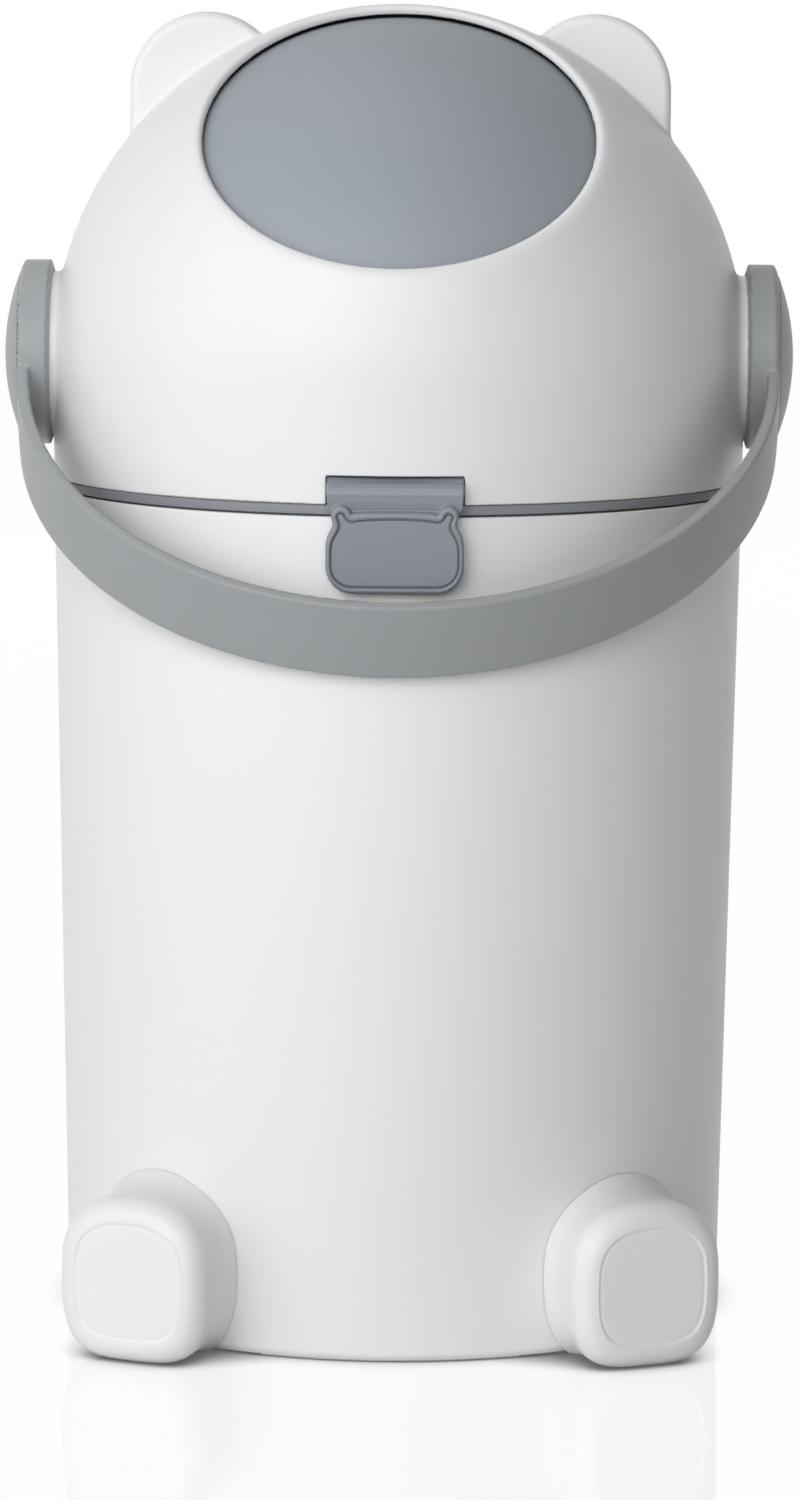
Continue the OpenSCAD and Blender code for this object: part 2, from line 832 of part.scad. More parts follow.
module hub_screws() {
    head_x = drive_out_x + 0.4 + washer_t;
    color("silver") both_sides() at_hub() translate([head_x, 0, 0]) rotate([0, -90, 0])
        screw(hub_screw_r, head_x - drum_boss_in_x - 4, hub_head_r, hub_head_h);
}

// The handle in its own plane: arms along -Y from the hubs, the band's width along Z.
module handle() {
    inner_r = disc_out_x - band_t;
    color("darkgray") at_hub() rotate([handle_deg, 0, 0]) difference() {
        union() {
            both_sides() {
                x_rod(disc_in_x + 1.6, disc_out_x - 1.6, disc_r);
                translate([disc_in_x, 0, 0]) rotate([0, 90, 0])
                    cylinder(h = 1.6, r1 = disc_r - 1, r2 = disc_r);
                translate([disc_out_x - 1.6, 0, 0]) rotate([0, 90, 0])
                    cylinder(h = 1.6, r1 = disc_r, r2 = disc_r - 2.5);
                translate([inner_r, -arm_len, -band_w / 2]) cube([band_t, arm_len, band_w]);
            }
            translate([0, -arm_len, -band_w / 2]) rotate([0, 0, 180])
                rotate_extrude(angle = 180) translate([inner_r, 0]) square([band_t, band_w]);
        }
        both_sides() {
            translate([0, -drive_w / 2 - 0.1, -drive_w / 2 - 0.1]) cube([far, drive_w + 0.2, drive_w + 0.2]);
            x_rod(drive_out_x, far, hub_recess_r);
        }
    }
}

// A shallow dome with a plug ring behind it, turned about the handle's axis.
module hub_cap() {
    ball = (cap_r * cap_r + cap_h * cap_h) / (2 * cap_h);
    plug_r = hub_recess_r - seat_gap;
    color("darkgray") at_hub() translate([cap_x, 0, 0]) rotate([0, 90, 0]) {
        rotate_extrude() intersection() {
            translate([0, cap_h - ball]) circle(r = ball);
            square([far, far]);
        }
        translate([0, 0, -2.5]) band_ring(plug_r - 2.2, plug_r, 2.5 + eps);
    }
}

module right_hub_cap() {
    hub_cap();
}

module left_hub_cap() {
    mirror([1, 0, 0]) hub_cap();
}

// ---------------------------------------------------------------- latch

tab_face_y = pin_y - rim_r - tab_stand;
tab_back_y = tab_face_y + tab_t;
tab_low = -latch_pin_rise - latch_drop;
tab_ear_z = -latch_pin_rise - 0.4;
tab_round = 9;

// The tab's outline from the front: a head with two small ears.
function arc(cx, cz, r, a0, a1, n) = [for (i = [0 : n]) let (a = a0 + (a1 - a0) * i / n) [cx + r * cos(a), cz + r * sin(a)]];

tab_half = [
    each arc(latch_w / 2 - tab_round, tab_low + tab_round, tab_round, -90, 0, 8),
    each arc(latch_w / 2 - 18, tab_low + 15, 18, 0, 38, 6),
    each arc(latch_w / 2 - 5, tab_ear_z - 3, 3, 0, 130, 8),
    [latch_w / 2 - 12, tab_ear_z - 5.4],
    [-1, tab_ear_z - 4.2], [-1, tab_low]
];

module tab_outline() {
    polygon(tab_half);
    mirror([1, 0]) polygon(tab_half);
}

plate_profile = [
    [plate_top_y, plate_up], [-2.8, plate_up], [-1.5, 0], [-3, -latch_pin_rise + 1],
    [tab_back_y + 0.6, -latch_pin_rise - 0.6], [tab_back_y + 0.6, -latch_pin_rise - 8],
    [tab_back_y - 0.6, -latch_pin_rise - 8], [tab_back_y - 1.6, -latch_pin_rise - 3], [-6.2, plate_up - 2]
];

recess_half = 20;
hook_w = 20;
hook_h = 3.5;
hook_z = keeper_z - pin_z - 0.3 - hook_h;

module latch_tab() {
    color("slategray") at_latch() difference() {
        union() {
            x_rod(-plate_half, plate_half, barrel_r);
            x_slab(-plate_half, plate_half) polygon(plate_profile);
            difference() {
                translate([0, tab_back_y, 0]) rotate([90, 0, 0]) linear_extrude(tab_t) tab_outline();
                translate([-recess_half, tab_back_y - 2.2, tab_low + 4])
                    cube([2 * recess_half, 4, -latch_pin_rise - 9 - tab_low - 4]);
            }
            translate([-hook_w / 2, tab_back_y - 2.4, hook_z])
                cube([hook_w, pin_y - keeper_y - 0.2 - tab_back_y + 2.4, hook_h]);
        }
        x_rod(-far, far, latch_pin_r + run_gap);
    }
}

module latch_pin() {
    color("silver") at_latch() x_rod(-pocket_half - cheek_t + 1.2, pocket_half + cheek_t - 1.2, latch_pin_r);
}

// ---------------------------------------------------------------- pieces

body_shell();
base_cover();
base_screws();
left_paw();
right_paw();
paw_screws();
bag_ring();
hinge_pin();
head_shell();
opening_seal();
seal_carrier();
drum_seal();
carrier_screws();
left_bush();
right_bush();
drum_cap();
drum_cup();
drum_screws();
left_trunnion();
right_trunnion();
hub_washers();
hub_screws();
handle();
left_hub_cap();
right_hub_cap();
latch_tab();
latch_pin();
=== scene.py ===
import json
import math

import bmesh
import bpy
import numpy as np
from mathutils import Matrix, Vector


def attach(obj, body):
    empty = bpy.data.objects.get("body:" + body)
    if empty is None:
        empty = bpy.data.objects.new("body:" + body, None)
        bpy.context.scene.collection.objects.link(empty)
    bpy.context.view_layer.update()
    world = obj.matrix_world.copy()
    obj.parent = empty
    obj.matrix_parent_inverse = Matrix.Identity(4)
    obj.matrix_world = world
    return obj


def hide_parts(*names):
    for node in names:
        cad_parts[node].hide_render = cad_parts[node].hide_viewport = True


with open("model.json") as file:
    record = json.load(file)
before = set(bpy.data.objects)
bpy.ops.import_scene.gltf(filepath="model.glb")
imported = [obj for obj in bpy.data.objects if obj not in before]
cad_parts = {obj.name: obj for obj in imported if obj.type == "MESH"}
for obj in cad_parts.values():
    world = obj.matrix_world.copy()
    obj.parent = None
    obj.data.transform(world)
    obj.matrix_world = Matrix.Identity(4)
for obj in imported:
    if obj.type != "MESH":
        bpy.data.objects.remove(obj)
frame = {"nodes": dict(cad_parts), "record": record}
bpy.context.scene.view_settings.view_transform = "Standard"
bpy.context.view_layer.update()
nodes = frame["nodes"]

# ---------------------------------------------------------------- sizes
# In millimetres and degrees, near those of the part's source but not all equal to them. The
# opening and its lip, the latch, the hub covers and the paws differ, the paws' width by 6.4.
SEAM_Z, HUB_Z = 351.5, 402.0
BODY_TOP = 346.6
BODY_R0, BODY_R1 = 138.5, 145.0
WALL, EDGE_H = 3.0, 3.0
DOME_R, LID_IN_R, SKIRT_IN_R = 145.5, 143.0, 142.5
DRUM_R, DRUM_WALL, DRUM_END = 141.2, 2.5, 131.5
OPEN_DEG, OPEN_R, LIP_RISE = 51.8, 79.7, 1.42
SEAL_IN, SEAL_OUT, SEAL_UNDER, SEAL_TOP = 80.7, 84.3, 141.5, 142.3
MOUTH_DEG, MOUTH_R = -100.1, 76.0
BOSS_X, BOSS_R = 146.2, 33.9
HUB_BORE_R, HUB_BOSS_R = 17.1, 24.05
HUB_BOSS_IN, HUB_BOSS_OUT = 133.4, 143.5
DISC_IN, DISC_OUT, DISC_R = 146.4, 158.6, 38.7
DISC_STEP_R, DISC_STEP, DISC_SLOPE = 34.25, 1.2, 0.3
RECESS_R, RECESS_FLOOR = 13.8, 154.3
COVER_TOP, COVER_BALL, COVER_R = 165.7, 93.5, 33.9
COVER_BACK, COVER_LIP, COVER_LIP_OUT, COVER_LIP_IN = 158.8, 156.3, 13.6, 11.4
BAND_T, BAND_W, BAND_EDGE, ARM, TILT = 5.5, 36.3, 1.0, 33.3, 33.0
EAR_X, EAR_Z, EAR_R, EAR_T, EAR_EDGE = 81.0, 512.7, 32.0, 16.0, 3.4
RING_R, RING_IN, RING_Z0, RING_Z1, SKIRT_Z = 144.5, 137.0, 347.45, 351.35, 330.1
HINGE_Y, HINGE_Z, KNUCKLE_R, HINGE_BORE_R = 153.0, 349.15, 4.95, 2.05
KNUCKLE_HALF, HINGE_BORE_HALF, BRACKET_X0, BRACKET_X1 = 14, 40, 28.0, 44.0
LATCH_Y, LATCH_Z, LATCH_BORE_R, LATCH_HALF = -139.8, 357.0, 1.55, 27.3
LATCH_BAY_R, LATCH_BAY_HALF = 3.6, 27.7
CATCH_Z = 335.8
FLOOR_UNDER, FLOOR_TOP, EDGE_UNDER, FOOT_H = 14.0, 17.0, 0.8, 1.4
PAW_AZ, PAW_SPLAY, PAW_LEN, PAW_W, PAW_H = 40.0, 24.0, 43.0, 65.4, 68.0

SLAB = 12                           # layers of a grid worked out at a time
NEWTON_ROUNDS = 4                   # steps that move a mesh onto its surface
SMALL_STEPS, BIG_STEPS = 160, 320   # sides of the turned pieces


def body_r(z):
    return BODY_R0 + (BODY_R1 - BODY_R0) * np.maximum(z, 0) / SEAM_Z


# ---------------------------------------------------------------- distance fields and their meshes
def smin(a, b, k):
    h = np.clip(0.5 + 0.5 * (b - a) / k, 0, 1)
    return b + (a - b) * h - k * h * (1 - h)


def smax(a, b, k):
    return -smin(-a, -b, k)


def away(a, b):
    return np.sqrt(a * a + b * b)


def corner_of(a, b):
    """The distance to the region where a and b are both below 0."""
    return np.minimum(np.maximum(a, b), 0) + np.sqrt(np.maximum(a, 0) ** 2 + np.maximum(b, 0) ** 2)


def rod(x, y, z, x0, x1, r, e):
    """A cylinder along X about (y, z) = 0 with its rims rounded by e."""
    d = away(y, z) - (r - e)
    h = np.abs(x - (x0 + x1) / 2) - ((x1 - x0) / 2 - e)
    return corner_of(d, h) - e


def block(x, y, z, cx, cy, cz, hx, hy, hz, e):
    """A box about (cx, cy, cz) with half sizes hx, hy, hz and edges rounded by e."""
    a, b, c = np.abs(x - cx) - (hx - e), np.abs(y - cy) - (hy - e), np.abs(z - cz) - (hz - e)
    out = np.sqrt(np.maximum(a, 0) ** 2 + np.maximum(b, 0) ** 2 + np.maximum(c, 0) ** 2)
    return np.minimum(np.maximum(np.maximum(a, b), c), 0) + out - e


def spaced(a, b, step, zones):
    """Places from a to b a step apart, and closer inside zones of (start, end, step)."""
    out = [a]
    while out[-1] < b:
        near = [s for p, q, s in zones if p <= out[-1] < q]
        out.append(out[-1] + (near[0] if near else step))
    return np.array(out)


def surface(name, field, lo, hi, step, zones=((), (), ())):
    """A closed quad mesh of field = 0, its points moved onto the surface and given its normals."""
    axes = [spaced(a, b, step, near) for a, b, near in zip(lo, hi, zones)]
    shape = [len(a) for a in axes]
    v = np.empty(shape, np.float32)
    for k in range(0, shape[2], SLAB):
        v[:, :, k:k + SLAB] = field(axes[0][:, None, None], axes[1][None, :, None],
                                    axes[2][None, None, k:k + SLAB])
    s = v < 0
    n = np.zeros([m - 1 for m in shape], np.uint8)
    corners = [(i, j, k) for i in (0, 1) for j in (0, 1) for k in (0, 1)]
    for c in corners:
        n += s[tuple(slice(i, m - 1 + i) for i, m in zip(c, shape))]
    cells = np.argwhere((n > 0) & (n < 8))
    number = np.full(n.shape, -1, np.int32)
    number[tuple(cells.T)] = np.arange(len(cells))
    val = {c: v[cells[:, 0] + c[0], cells[:, 1] + c[1], cells[:, 2] + c[2]] for c in corners}
    total, count = np.zeros((len(cells), 3)), np.zeros(len(cells))
    for a in corners:
        for d in range(3):
            if a[d]:
                continue
            b = tuple(1 if e == d else a[e] for e in range(3))
            va, vb = val[a], val[b]
            hit = (va < 0) != (vb < 0)
            t = np.where(hit, va / np.where(hit, va - vb, 1), 0)
            p = np.array(a, float)[None].repeat(len(cells), 0)
            p[:, d] = t
            total += p * hit[:, None]
            count += hit
    part = total / count[:, None]
    low = np.stack([a[cells[:, d]] for d, a in enumerate(axes)], 1)
    wide = np.stack([a[cells[:, d] + 1] for d, a in enumerate(axes)], 1) - low
    pts = low + part * wide
    reach = 0.5 * wide.min(1, keepdims=True)
    e = step * 0.02

    def f(q):
        return field(q[:, 0], q[:, 1], q[:, 2])

    def slope(q):
        g = np.empty_like(q)
        for d in range(3):
            o = np.zeros(3)
            o[d] = e
            g[:, d] = (f(q + o) - f(q - o)) / (2 * e)
        return g

    for _ in range(NEWTON_ROUNDS):
        g = slope(pts)
        move = -(f(pts) / np.maximum((g * g).sum(1), 0.05))[:, None] * g
        size = np.linalg.norm(move, axis=1, keepdims=True)
        pts += move * np.minimum(1, reach / np.maximum(size, 1e-9))
    g = slope(pts)
    normals = g / np.maximum(np.linalg.norm(g, axis=1, keepdims=True), 1e-9)
    quads = []
    for d in range(3):
        u, w = (d + 1) % 3, (d + 2) % 3
        lo_s = [slice(None)] * 3
        hi_s = [slice(None)] * 3
        lo_s[d], hi_s[d] = slice(0, -1), slice(1, None)
        a, b = s[tuple(lo_s)], s[tuple(hi_s)]
        at = np.argwhere(a != b)
        at = at[(at[:, u] > 0) & (at[:, w] > 0)
                & (at[:, u] < shape[u] - 1) & (at[:, w] < shape[w] - 1)]
        inside = a[tuple(at.T)]
        loop = []
        for du, dw in ((-1, -1), (0, -1), (0, 0), (-1, 0)):
            q = at.copy()
            q[:, u] += du
            q[:, w] += dw
            loop.append(number[tuple(q.T)])
        q = np.stack(loop, 1)
        q[~inside] = q[~inside][:, ::-1]
        quads.append(q)
    return build(name, pts, np.concatenate(quads), normals)


def build(name, pts, faces, normals=None):
    """A smooth-shaded object from points in millimetres."""
    mesh = bpy.data.meshes.new(name)
    pts = np.asarray(pts, float) / 1000
    if isinstance(faces, np.ndarray):
        m, k = faces.shape
        mesh.vertices.add(len(pts))
        mesh.vertices.foreach_set("co", pts.ravel())
        mesh.loops.add(m * k)
        mesh.loops.foreach_set("vertex_index", faces.ravel().astype(np.int32))
        mesh.polygons.add(m)
        mesh.polygons.foreach_set("loop_start", np.arange(0, m * k, k, dtype=np.int32))
        mesh.update(calc_edges=True)
    else:
        mesh.from_pydata([tuple(p) for p in pts], [], faces)
    mesh.validate()
    mesh.polygons.foreach_set("use_smooth", np.ones(len(mesh.polygons), bool))
    if normals is not None and len(mesh.vertices) == len(normals):
        mesh.normals_split_custom_set_from_vertices([tuple(n) for n in normals])
    mesh.update()
    obj = bpy.data.objects.new(name, mesh)
    bpy.context.scene.collection.objects.link(obj)
    return obj


def rounded(profile, n=5):
    """The points of a closed (r, z) outline; a corner given as (r, z, radius) becomes an arc."""
    out = []
    m = len(profile)
    for i in range(m):
        p, a, b = (np.array(profile[j][:2], float) for j in (i, (i - 1) % m, (i + 1) % m))
        rad = profile[i][2] if len(profile[i]) > 2 else 0
        u, w = (a - p) / np.linalg.norm(a - p), (b - p) / np.linalg.norm(b - p)
        half = math.acos(max(-1, min(1, float(u @ w)))) / 2
        if rad <= 0 or half > 1.55:
            out.append(p)
            continue
        t = rad / math.tan(half)
        c = p + (u + w) / np.linalg.norm(u + w) * rad / math.sin(half)
        s, e = p + u * t - c, p + w * t - c
        turn = math.atan2(s[0] * e[1] - s[1] * e[0], float(s @ e))
        for k in range(n + 1):
            g = turn * k / n
            out.append(c + np.array([s[0] * math.cos(g) - s[1] * math.sin(g),
                                     s[0] * math.sin(g) + s[1] * math.cos(g)]))
    return out


def lathe(name, profile, steps, frame_at=None, arc=None):
    """A closed outline of (r, z) points turned about Z, then moved by frame_at.

    arc is a start and an end in degrees, for less than a full turn.
    """
    prof = rounded(profile)
    a0, a1 = arc or (0, 360)
    count = steps if arc is None else steps + 1
    ang = np.radians(a0 + (a1 - a0) * np.arange(count) / steps)
    pts = np.array([[p[0] * math.cos(a), p[0] * math.sin(a), p[1]] for a in ang for p in prof])
    m = len(prof)
    faces = []
    for i in range(steps):
        j = (i + 1) % count
        for k in range(m):
            q = (k + 1) % m
            faces.append((i * m + k, j * m + k, j * m + q, i * m + q))
    if arc is not None:
        faces.append(tuple(range(m - 1, -1, -1)))
        faces.append(tuple((count - 1) * m + k for k in range(m)))
    if frame_at is not None:
        pts = np.array([frame_at @ Vector(p) for p in pts])
    obj = build(name, pts, faces)
    clean(obj)
    return obj


def clean(obj, angle=35):
    """Merges doubled points, drops empty faces, turns faces outwards and marks hard edges."""
    bm = bmesh.new()
    bm.from_mesh(obj.data)
    bmesh.ops.remove_doubles(bm, verts=bm.verts, dist=1e-6)
    bmesh.ops.dissolve_degenerate(bm, edges=bm.edges, dist=1e-7)
    bmesh.ops.recalc_face_normals(bm, faces=bm.faces)
    for e in bm.edges:
        e.smooth = len(e.link_faces) == 2 and e.calc_face_angle(0) < math.radians(angle)
    bm.to_mesh(obj.data)
    bm.free()


AT_HUB = Matrix.Translation((0, 0, HUB_Z))
ALONG_X = AT_HUB @ Matrix.Rotation(math.radians(90), 4, "Y")
ALONG_MINUS_X = AT_HUB @ Matrix.Rotation(math.radians(-90), 4, "Y")


def turned(deg_from_horizon):
    """The frame at the hub whose Z points to the front at that angle above the horizon."""
    return AT_HUB @ Matrix.Rotation(math.radians(90 - deg_from_horizon), 4, "X")


# ---------------------------------------------------------------- materials
ROUGH_SPREAD = 0.05


def shader(tree, kind, **values):
    """A new shader node with constants on its sockets, whose names have _ for a space."""
    made = tree.nodes.new("ShaderNode" + kind)
    for socket, value in values.items():
        made.inputs[socket.replace("_", " ")].default_value = value
    return made


def material(name, color, rough, grain, grain_size, spread, metal=0.0, spec=0.5):
    """A faintly clouded tone, patchy roughness and a fine grain of grain_size millimetres."""
    mat = bpy.data.materials.new(name)
    mat.use_nodes = True
    tree = mat.node_tree
    link = tree.links.new
    bsdf = tree.nodes["Principled BSDF"]
    bsdf.inputs["Metallic"].default_value = metal
    bsdf.inputs["Specular IOR Level"].default_value = spec
    spot = shader(tree, "TexCoord").outputs["Object"]
    cloud = shader(tree, "TexNoise", Scale=14, Detail=3)
    tone = shader(tree, "MixRGB", Color1=(*[c * (1 - spread) for c in color], 1),
                  Color2=(*[min(1, c * (1 + spread)) for c in color], 1))
    scuff = shader(tree, "TexNoise", Scale=55, Detail=5)
    patches = shader(tree, "MapRange", To_Min=rough - ROUGH_SPREAD, To_Max=rough + ROUGH_SPREAD)
    fine = shader(tree, "TexNoise", Scale=1000 / grain_size, Detail=2)
    bump = shader(tree, "Bump", Strength=grain, Distance=0.00004)
    for noise in (cloud, scuff, fine):
        link(spot, noise.inputs["Vector"])
    link(cloud.outputs["Fac"], tone.inputs["Fac"])
    link(tone.outputs["Color"], bsdf.inputs["Base Color"])
    link(scuff.outputs["Fac"], patches.inputs["Value"])
    link(patches.outputs["Result"], bsdf.inputs["Roughness"])
    link(fine.outputs["Fac"], bump.inputs["Height"])
    link(bump.outputs["Normal"], bsdf.inputs["Normal"])
    return mat


WHITE = material("white_plastic", (0.80, 0.80, 0.805), 0.38,
                 grain=0.25, grain_size=0.9, spread=0.006)
WHITE_IN = material("white_plastic_inside", (0.74, 0.74, 0.745), 0.5,
                    grain=0.4, grain_size=1.4, spread=0.012)
GREY = material("grey_plastic", (0.335, 0.35, 0.36), 0.42,
                grain=0.3, grain_size=0.8, spread=0.012, spec=0.3)
DRUM = material("drum_plastic", (0.30, 0.33, 0.365), 0.5, grain=0.45, grain_size=0.7, spread=0.012)
LATCH = material("latch_plastic", (0.228, 0.25, 0.285), 0.33,
                 grain=0.3, grain_size=0.8, spread=0.012)
# The grey trim made darker for the bag clamp ring: painted shade of its recess at the lid's seam.
RING_GREY_PAINTED_SHADE = material("ring_grey_painted_shade", (0.225, 0.235, 0.255), 0.45,
                grain=0.3, grain_size=0.8, spread=0.012)
RUBBER = material("rubber", (0.006, 0.006, 0.007), 0.85,
                  grain=0.6, grain_size=0.6, spread=0.15, spec=0.1)
STEEL = material("zinc_steel", (0.58, 0.58, 0.6), 0.33,
                 grain=0.5, grain_size=0.35, metal=1.0, spread=0.05)
NYLON = material("nylon", (0.66, 0.63, 0.55), 0.55, grain=0.5, grain_size=0.8, spread=0.03)
DARK = material("dark_nylon", (0.06, 0.065, 0.07), 0.5, grain=0.5, grain_size=0.8, spread=0.06)
SLOTS = {"white_shell": WHITE, "grey_trim": GREY, "drum_grey": DRUM, "latch_grey": LATCH,
         "dark_rubber": RUBBER, "steel": STEEL, "nylon": NYLON, "dark_nylon": DARK}


def paint(obj, mat):
    obj.data.materials.clear()
    obj.data.materials.append(mat)


def place(obj, body, mat, slot, *stands_for):
    paint(obj, mat)
    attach(obj, body)
    if stands_for:
        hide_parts(*stands_for)
    return obj


for row in frame["record"]["subparts"]:
    paint(nodes[row["node"]], SLOTS[row["material_slot"]])
for name in ("base_cover", "seal_carrier"):
    paint(nodes[name], WHITE_IN)


# ---------------------------------------------------------------- the lid
def opening_frame(x, y, z):
    """The distance from the opening's axis and the place along it."""
    a = math.radians(OPEN_DEG)
    ay, az = -math.cos(a), math.sin(a)
    zz = z - HUB_Z
    w = y * ay + zz * az
    q = np.sqrt(np.maximum(x * x + y * y + zz * zz - w * w, 0))
    return q, w


def hinge_web(dy, dz):
    """Section of a hinge arm from the pin, at (0, 0), down to the wall; the lid's is upside down."""
    top = np.maximum(np.minimum(dz + 3.15, 0.786 * dz - 0.619 * dy), dz)
    edge = smax(0.983 * (dy - 4.5) - 0.184 * dz, 0.822 * (dy - 3.5) - 0.571 * (dz + 8), 2)
    return smax(edge, top, 0.4)


def lid_field(x, y, z):
    zz = z - HUB_Z
    ax = np.abs(x)
    rxy = away(x, y)
    up = np.maximum(zz, 0)
    rad = away(rxy, up)
    q, w = opening_frame(x, y, z)
    lip = 0.5 + 0.5 * np.cos(math.pi * np.clip((q - 80) / 24, 0, 1))
    lip = lip * np.clip(w / 60, 0, 1)
    dome = rad - (DOME_R + LIP_RISE * lip + 0.5 * np.minimum(zz, 0) / 50.5)
    edge = np.clip(1 - (q - 80) / 8, 0, 1) * np.clip(w / 60, 0, 1)
    skirt_in = SKIRT_IN_R + 0.5 * np.clip(1 + zz / 10, 0, 1)
    hole = rad - np.where(zz > 0, LID_IN_R - 0.35 * edge, skirt_in)
    soft = np.clip((545 - z) / 80, 0, 1)
    dome = smax(dome, np.minimum(OPEN_R - q, w), 5.0 + 3.0 * soft * soft * (3 - 2 * soft))
    out = smin(dome, rod(x, y, zz, -BOSS_X, BOSS_X, BOSS_R, 0.4), 2.8)
    ear_q = np.where(z > EAR_Z, away(ax - EAR_X, z - EAR_Z), np.abs(ax - EAR_X) + 0 * z)
    ear = corner_of(ear_q - (EAR_R - EAR_EDGE), np.abs(y) - (EAR_T / 2 - EAR_EDGE)) - EAR_EDGE
    ear = smax(ear, HUB_Z + 60 - z, 4)
    out = smin(out, ear, 1.8)
    knuckle = rod(x, y - HINGE_Y, z - HINGE_Z, -KNUCKLE_HALF, KNUCKLE_HALF, KNUCKLE_R, 0.7)
    web = smax(hinge_web(y - HINGE_Y, HINGE_Z - z), ax - KNUCKLE_HALF, 1.0)
    web = np.maximum(web, 138 - y)
    out = smin(out, smin(knuckle, web, 0.6), 3)
    out = smax(out, -hole, 0.6)
    boss = np.maximum(rod(x, y, zz, -HUB_BOSS_OUT, HUB_BOSS_OUT, HUB_BOSS_R, 0.8), HUB_BOSS_IN - ax)
    out = np.minimum(out, boss)
    out = np.maximum(out, np.minimum(OPEN_R - q, w))
    out = np.maximum(out, -(away(y, zz) - HUB_BORE_R))
    out = smax(out, SEAM_Z - z, 0.6)
    pocket = block(x, y, z, 0, -145, 353.6, 27.75, 8.6, 9.5, 0.9)
    bay = np.maximum(away(y - LATCH_Y, z - LATCH_Z) - LATCH_BAY_R, ax - LATCH_BAY_HALF)
    wall = block(x, y, z, 0, -137.6, 358.5, 31.5, 3.4, 9.5, 0.8)
    wall = np.maximum(wall, -(away(rxy, zz) - (DRUM_R + 0.8)))
    wall = np.maximum(wall, 135.4 - rxy)
    out = np.minimum(out, smax(wall, SEAM_Z - z, 0.5))
    out = smax(out, -pocket, 0.5)
    out = np.maximum(out, -bay)
    pin_bore = np.maximum(away(y - HINGE_Y, z - HINGE_Z) - HINGE_BORE_R,
                          ax - HINGE_BORE_HALF)
    return np.maximum(out, -pin_bore)


lid = surface("lid_dome", lid_field, (-149, -149, 350), (149, 159.5, 550.5), step=1.35,
              zones=(((-148, -140, 0.8), (-30, -26.5, 0.7), (26.5, 30, 0.7), (140, 148, 0.8)),
                     ((-146.5, -140.5, 0.75),), ((350, 366.5, 0.7),)))
place(lid, "lid", WHITE, "white_shell", "head_shell")

seal = [(q, math.sqrt(r * r - q * q)) for q, r in ((SEAL_IN, SEAL_UNDER), (SEAL_IN, SEAL_TOP),
                                                    (SEAL_OUT, SEAL_TOP), (SEAL_OUT, SEAL_UNDER))]
gasket = lathe("opening_gasket", seal, SMALL_STEPS, turned(OPEN_DEG))
place(gasket, "lid", RUBBER, "dark_rubber", "opening_seal")


# ---------------------------------------------------------------- the drum
def drum_part(name, t0, t1, rows):
    """Part of the flat-ended ball between two angles from the mouth's axis, with its wall."""
    to = turned(MOUTH_DEG)
    outer = np.radians(np.linspace(t0, t1, rows))
    th = np.concatenate([outer, outer[::-1]])
    thick = np.concatenate([np.zeros(rows), np.full(rows, DRUM_WALL)])
    steps, m = 220, 2 * rows
    pts, faces = [], []
    for i, a in enumerate(2 * np.pi * np.arange(steps) / steps):
        d = np.stack([np.sin(th) * math.cos(a), np.sin(th) * math.sin(a), np.cos(th)], 1)
        r = np.minimum(DRUM_R - thick, (DRUM_END - thick) / np.maximum(np.abs(d[:, 0]), 1e-3))
        pts.append(d * r[:, None])
        j = (i + 1) % steps
        for k in range(m):
            q = (k + 1) % m
            faces.append((i * m + k, i * m + q, j * m + q, j * m + k))
    pts = np.array([to @ Vector(p) for p in np.concatenate(pts)])
    obj = build(name, pts, faces)
    clean(obj, angle=40)
    return obj


cap = drum_part("drum_ball", 90.02, 180, 70)
place(cap, "drum", DRUM, "drum_grey", "drum_cap")
cup = drum_part("drum_mouth", math.degrees(math.asin(MOUTH_R / DRUM_R)), 89.98, 40)
place(cup, "drum", DRUM, "drum_grey", "drum_cup")


# ---------------------------------------------------------------- the handle
def handle_field(x, v, w):
    """In the handle's own plane: v runs along the arms from the hub, w across the band."""
    ax = np.abs(x)
    mid = DISC_OUT - BAND_T / 2
    bend = v - ARM
    s = np.where(bend < 0, ax + 0 * v, np.sqrt(ax * ax + np.maximum(bend, 0) ** 2)) - mid
    t = np.clip(1 - (w / (BAND_W / 2)) ** 2, -1, 1)
    half = BAND_T / 2 - 0.35 + 0.35 * t
    band = corner_of(np.abs(s) - half + BAND_EDGE, np.abs(w) - BAND_W / 2 + BAND_EDGE) - BAND_EDGE
    band = np.maximum(band, -v)
    r = away(v, w)
    ball = away(ax - COVER_TOP + COVER_BALL, r) - COVER_BALL
    dish = DISC_IN - DISC_STEP + (r - DISC_STEP_R) * DISC_SLOPE
    inner = np.where(r < DISC_STEP_R, DISC_IN, dish) - ax
    disc = smax(smax(r - DISC_R, ball, 1.0), inner, 0.5)
    out = smin(disc, band, 1.2)
    out = np.maximum(out, -np.maximum(r - COVER_R - 0.3, DISC_OUT - ax))
    out = np.maximum(out, -np.maximum(np.abs(r - COVER_R - 0.1) - 0.5, DISC_OUT - 1.4 - ax))
    return np.maximum(out, -np.maximum(r - RECESS_R, RECESS_FLOOR - ax))


hub = AT_HUB @ Matrix.Rotation(math.radians(TILT), 4, "X")
handle = surface("handle_bow", lambda x, y, z: handle_field(x, -y, z),
                 (-162, -195, -41), (162, 41, 41), step=1.35)
handle.data.transform(Matrix.Scale(1000, 4))
handle.data.transform(hub)
handle.data.transform(Matrix.Scale(0.001, 4))
place(handle, "drum", GREY, "grey_trim", "handle")

